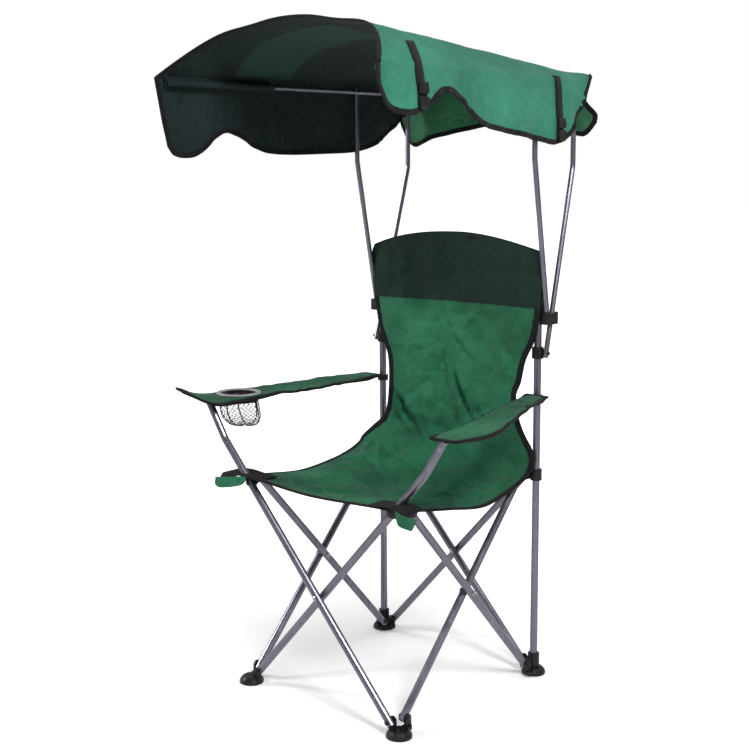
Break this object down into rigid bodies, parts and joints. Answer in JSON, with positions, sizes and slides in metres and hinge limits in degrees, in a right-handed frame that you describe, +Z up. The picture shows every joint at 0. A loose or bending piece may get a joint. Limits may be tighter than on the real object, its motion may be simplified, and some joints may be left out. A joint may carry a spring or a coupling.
{
  "type": "folding canopy chair",
  "caption": "Folding camp chair with crossed tube legs, sling seat and back, soft arms, a ring cup holder and a tilting cloth canopy on struts.",
  "frame": {"origin": "on the floor under the middle of the frame", "axes": "+Z up, the sitter faces -Y, +X towards the plain right arm"},
  "size_m": [0.7558, 0.74, 1.3815],
  "materials": {
    "frame_tube": "satin grey powder coat",
    "black_plastic": "moulded, satin",
    "steel_pin": "zinc plated",
    "sling_cloth": "woven polyester",
    "canopy_cloth": "woven polyester",
    "webbing": "woven strap",
    "ring_plastic": "moulded",
    "net": "open net"
  },
  "bodies": {
    "left_post_body": {"left_post": "frame_tube", "foot_rear_left": "black_plastic", "canopy_bracket_left": "black_plastic", "arm_rear_bracket_left": "black_plastic", "seat_sling_left": "sling_cloth", "back_sling_left": "sling_cloth"},
    "right_post_body": {"right_post": "frame_tube", "foot_rear_right": "black_plastic", "canopy_bracket_right": "black_plastic", "arm_rear_bracket_right": "black_plastic", "seat_sling_right": "sling_cloth", "back_sling_right": "sling_cloth"},
    "rear_rising_right_body": {"rear_tube_rising_right": "frame_tube", "crossing_rivet_rear": "steel_pin"},
    "rear_rising_left_body": {"rear_tube_rising_left": "frame_tube"},
    "corner_rear_right_body": {"seat_corner_rear_right": "black_plastic"},
    "corner_rear_left_body": {"seat_corner_rear_left": "black_plastic"},
    "left_rising_front_body": {"left_tube_rising_front": "frame_tube", "crossing_rivet_left": "steel_pin"},
    "left_rising_rear_body": {"left_tube_rising_rear": "frame_tube"},
    "foot_front_left_body": {"foot_front_left": "black_plastic"},
    "corner_front_left_body": {"seat_corner_front_left": "black_plastic"},
    "right_rising_front_body": {"right_tube_rising_front": "frame_tube", "crossing_rivet_right": "steel_pin"},
    "right_rising_rear_body": {"right_tube_rising_rear": "frame_tube"},
    "foot_front_right_body": {"foot_front_right": "black_plastic"},
    "corner_front_right_body": {"seat_corner_front_right": "black_plastic"},
    "right_arm_body": {"front_tube_to_right_arm": "frame_tube", "crossing_rivet_front": "steel_pin", "arm_cloth_right": "sling_cloth"},
    "left_arm_body": {"front_tube_to_left_arm": "frame_tube", "arm_cloth_left": "sling_cloth"},
    "cup_holder_body": {"cup_ring": "ring_plastic", "cup_pouch": "net"},
    "canopy_left_body": {"canopy_clamp_left": "black_plastic", "canopy_front_strut_left": "frame_tube", "canopy_rear_strut_left": "frame_tube", "canopy_rail_left": "frame_tube", "canopy_rivet_front_left": "steel_pin", "canopy_rivet_rear_left": "steel_pin", "canopy_roof_left": "canopy_cloth", "side_valance_left": "canopy_cloth", "rear_valance_left": "canopy_cloth", "canopy_front_strap_left": "webbing", "canopy_rear_strap_left": "webbing"},
    "canopy_right_body": {"canopy_clamp_right": "black_plastic", "canopy_front_strut_right": "frame_tube", "canopy_rear_strut_right": "frame_tube", "canopy_rail_right": "frame_tube", "canopy_rivet_front_right": "steel_pin", "canopy_rivet_rear_right": "steel_pin", "canopy_roof_right": "canopy_cloth", "side_valance_right": "canopy_cloth", "rear_valance_right": "canopy_cloth", "canopy_front_strap_right": "webbing", "canopy_rear_strap_right": "webbing"}
  },
  "joints": [
    {"name": "fold", "type": "hinge", "parent": "left_post_body", "child": "rear_rising_right_body", "pos_m": [-0.1925, 0.2215, 0.028], "axis": [0, -1, 0], "range_deg": [0, 37], "deforming": ["seat_sling_left", "back_sling_left", "arm_cloth_left", "canopy_roof_left", "side_valance_left", "rear_valance_left", "canopy_front_strap_left", "canopy_rear_strap_left", "seat_sling_right", "back_sling_right", "arm_cloth_right", "canopy_roof_right", "side_valance_right", "rear_valance_right", "canopy_front_strap_right", "canopy_rear_strap_right"]},
    {"name": "rear_scissor", "type": "hinge", "parent": "rear_rising_right_body", "child": "rear_rising_left_body", "pos_m": [0, 0.2215, 0.2375], "axis": [0, 1, 0], "range_deg": [0, 74]},
    {"name": "right_foot_turn", "type": "hinge", "parent": "rear_rising_left_body", "child": "right_post_body", "pos_m": [0.1925, 0.2215, 0.028], "axis": [0, -1, 0], "range_deg": [0, 37]},
    {"name": "corner_rear_right_turn", "type": "hinge", "parent": "rear_rising_right_body", "child": "corner_rear_right_body", "pos_m": [0.1925, 0.2215, 0.447], "axis": [0, 1, 0], "range_deg": [0, 37]},
    {"name": "corner_rear_left_turn", "type": "hinge", "parent": "rear_rising_left_body", "child": "corner_rear_left_body", "pos_m": [-0.1925, 0.2215, 0.447], "axis": [0, -1, 0], "range_deg": [0, 37]},
    {"name": "left_side_swing", "type": "hinge", "parent": "left_post_body", "child": "left_rising_front_body", "pos_m": [-0.206, 0.1925, 0.028], "axis": [-1, 0, 0], "range_deg": [0, 37]},
    {"name": "left_scissor", "type": "hinge", "parent": "left_rising_front_body", "child": "left_rising_rear_body", "pos_m": [-0.206, 0, 0.2375], "axis": [1, 0, 0], "range_deg": [0, 74]},
    {"name": "foot_front_left_turn", "type": "hinge", "parent": "left_rising_rear_body", "child": "foot_front_left_body", "pos_m": [-0.206, -0.1925, 0.028], "axis": [-1, 0, 0], "range_deg": [0, 37]},
    {"name": "corner_front_left_turn", "type": "hinge", "parent": "left_rising_front_body", "child": "corner_front_left_body", "pos_m": [-0.206, -0.1925, 0.447], "axis": [1, 0, 0], "range_deg": [0, 37]},
    {"name": "right_side_swing", "type": "hinge", "parent": "right_post_body", "child": "right_rising_front_body", "pos_m": [0.206, 0.1925, 0.028], "axis": [-1, 0, 0], "range_deg": [0, 37]},
    {"name": "right_scissor", "type": "hinge", "parent": "right_rising_front_body", "child": "right_rising_rear_body", "pos_m": [0.206, 0, 0.2375], "axis": [1, 0, 0], "range_deg": [0, 74]},
    {"name": "foot_front_right_turn", "type": "hinge", "parent": "right_rising_rear_body", "child": "foot_front_right_body", "pos_m": [0.206, -0.1925, 0.028], "axis": [-1, 0, 0], "range_deg": [0, 37]},
    {"name": "corner_front_right_turn", "type": "hinge", "parent": "right_rising_front_body", "child": "corner_front_right_body", "pos_m": [0.206, -0.1925, 0.447], "axis": [1, 0, 0], "range_deg": [0, 37]},
    {"name": "right_arm_swing", "type": "hinge", "parent": "foot_front_left_body", "child": "right_arm_body", "pos_m": [-0.1925, -0.2215, 0.028], "axis": [0, -1, 0], "range_deg": [0, 37]},
    {"name": "left_arm_swing", "type": "hinge", "parent": "foot_front_right_body", "child": "left_arm_body", "pos_m": [0.1925, -0.2215, 0.028], "axis": [0, 1, 0], "range_deg": [0, 37]},
    {"name": "cup_holder_gather", "type": "slide", "parent": "left_arm_body", "child": "cup_holder_body", "axis": [0, -1, 0], "range_m": [0, 0.019]},
    {"name": "canopy_tilt", "type": "hinge", "parent": "left_post_body", "child": "canopy_left_body", "pos_m": [-0.2395, 0.22239, 0.711], "axis": [-1, 0, 0], "range_deg": [0, 135]},
    {"name": "canopy_tilt_right", "type": "hinge", "parent": "right_post_body", "child": "canopy_right_body", "pos_m": [0.2395, 0.22239, 0.711], "axis": [-1, 0, 0], "range_deg": [0, 135]}
  ],
  "couplings": [
    {"joint": "rear_scissor", "follows": "fold", "ratio": 2},
    {"joint": "right_foot_turn", "follows": "fold", "ratio": 1},
    {"joint": "corner_rear_right_turn", "follows": "fold", "ratio": 1},
    {"joint": "corner_rear_left_turn", "follows": "fold", "ratio": 1},
    {"joint": "left_side_swing", "follows": "fold", "ratio": 1},
    {"joint": "left_scissor", "follows": "fold", "ratio": 2},
    {"joint": "foot_front_left_turn", "follows": "fold", "ratio": 1},
    {"joint": "corner_front_left_turn", "follows": "fold", "ratio": 1},
    {"joint": "right_side_swing", "follows": "fold", "ratio": 1},
    {"joint": "right_scissor", "follows": "fold", "ratio": 2},
    {"joint": "foot_front_right_turn", "follows": "fold", "ratio": 1},
    {"joint": "corner_front_right_turn", "follows": "fold", "ratio": 1},
    {"joint": "right_arm_swing", "follows": "fold", "ratio": 1},
    {"joint": "left_arm_swing", "follows": "fold", "ratio": 1},
    {"joint": "cup_holder_gather", "follows": "fold", "m_per_rad": 0.029422},
    {"joint": "canopy_tilt_right", "follows": "canopy_tilt", "ratio": 1}
  ]
}
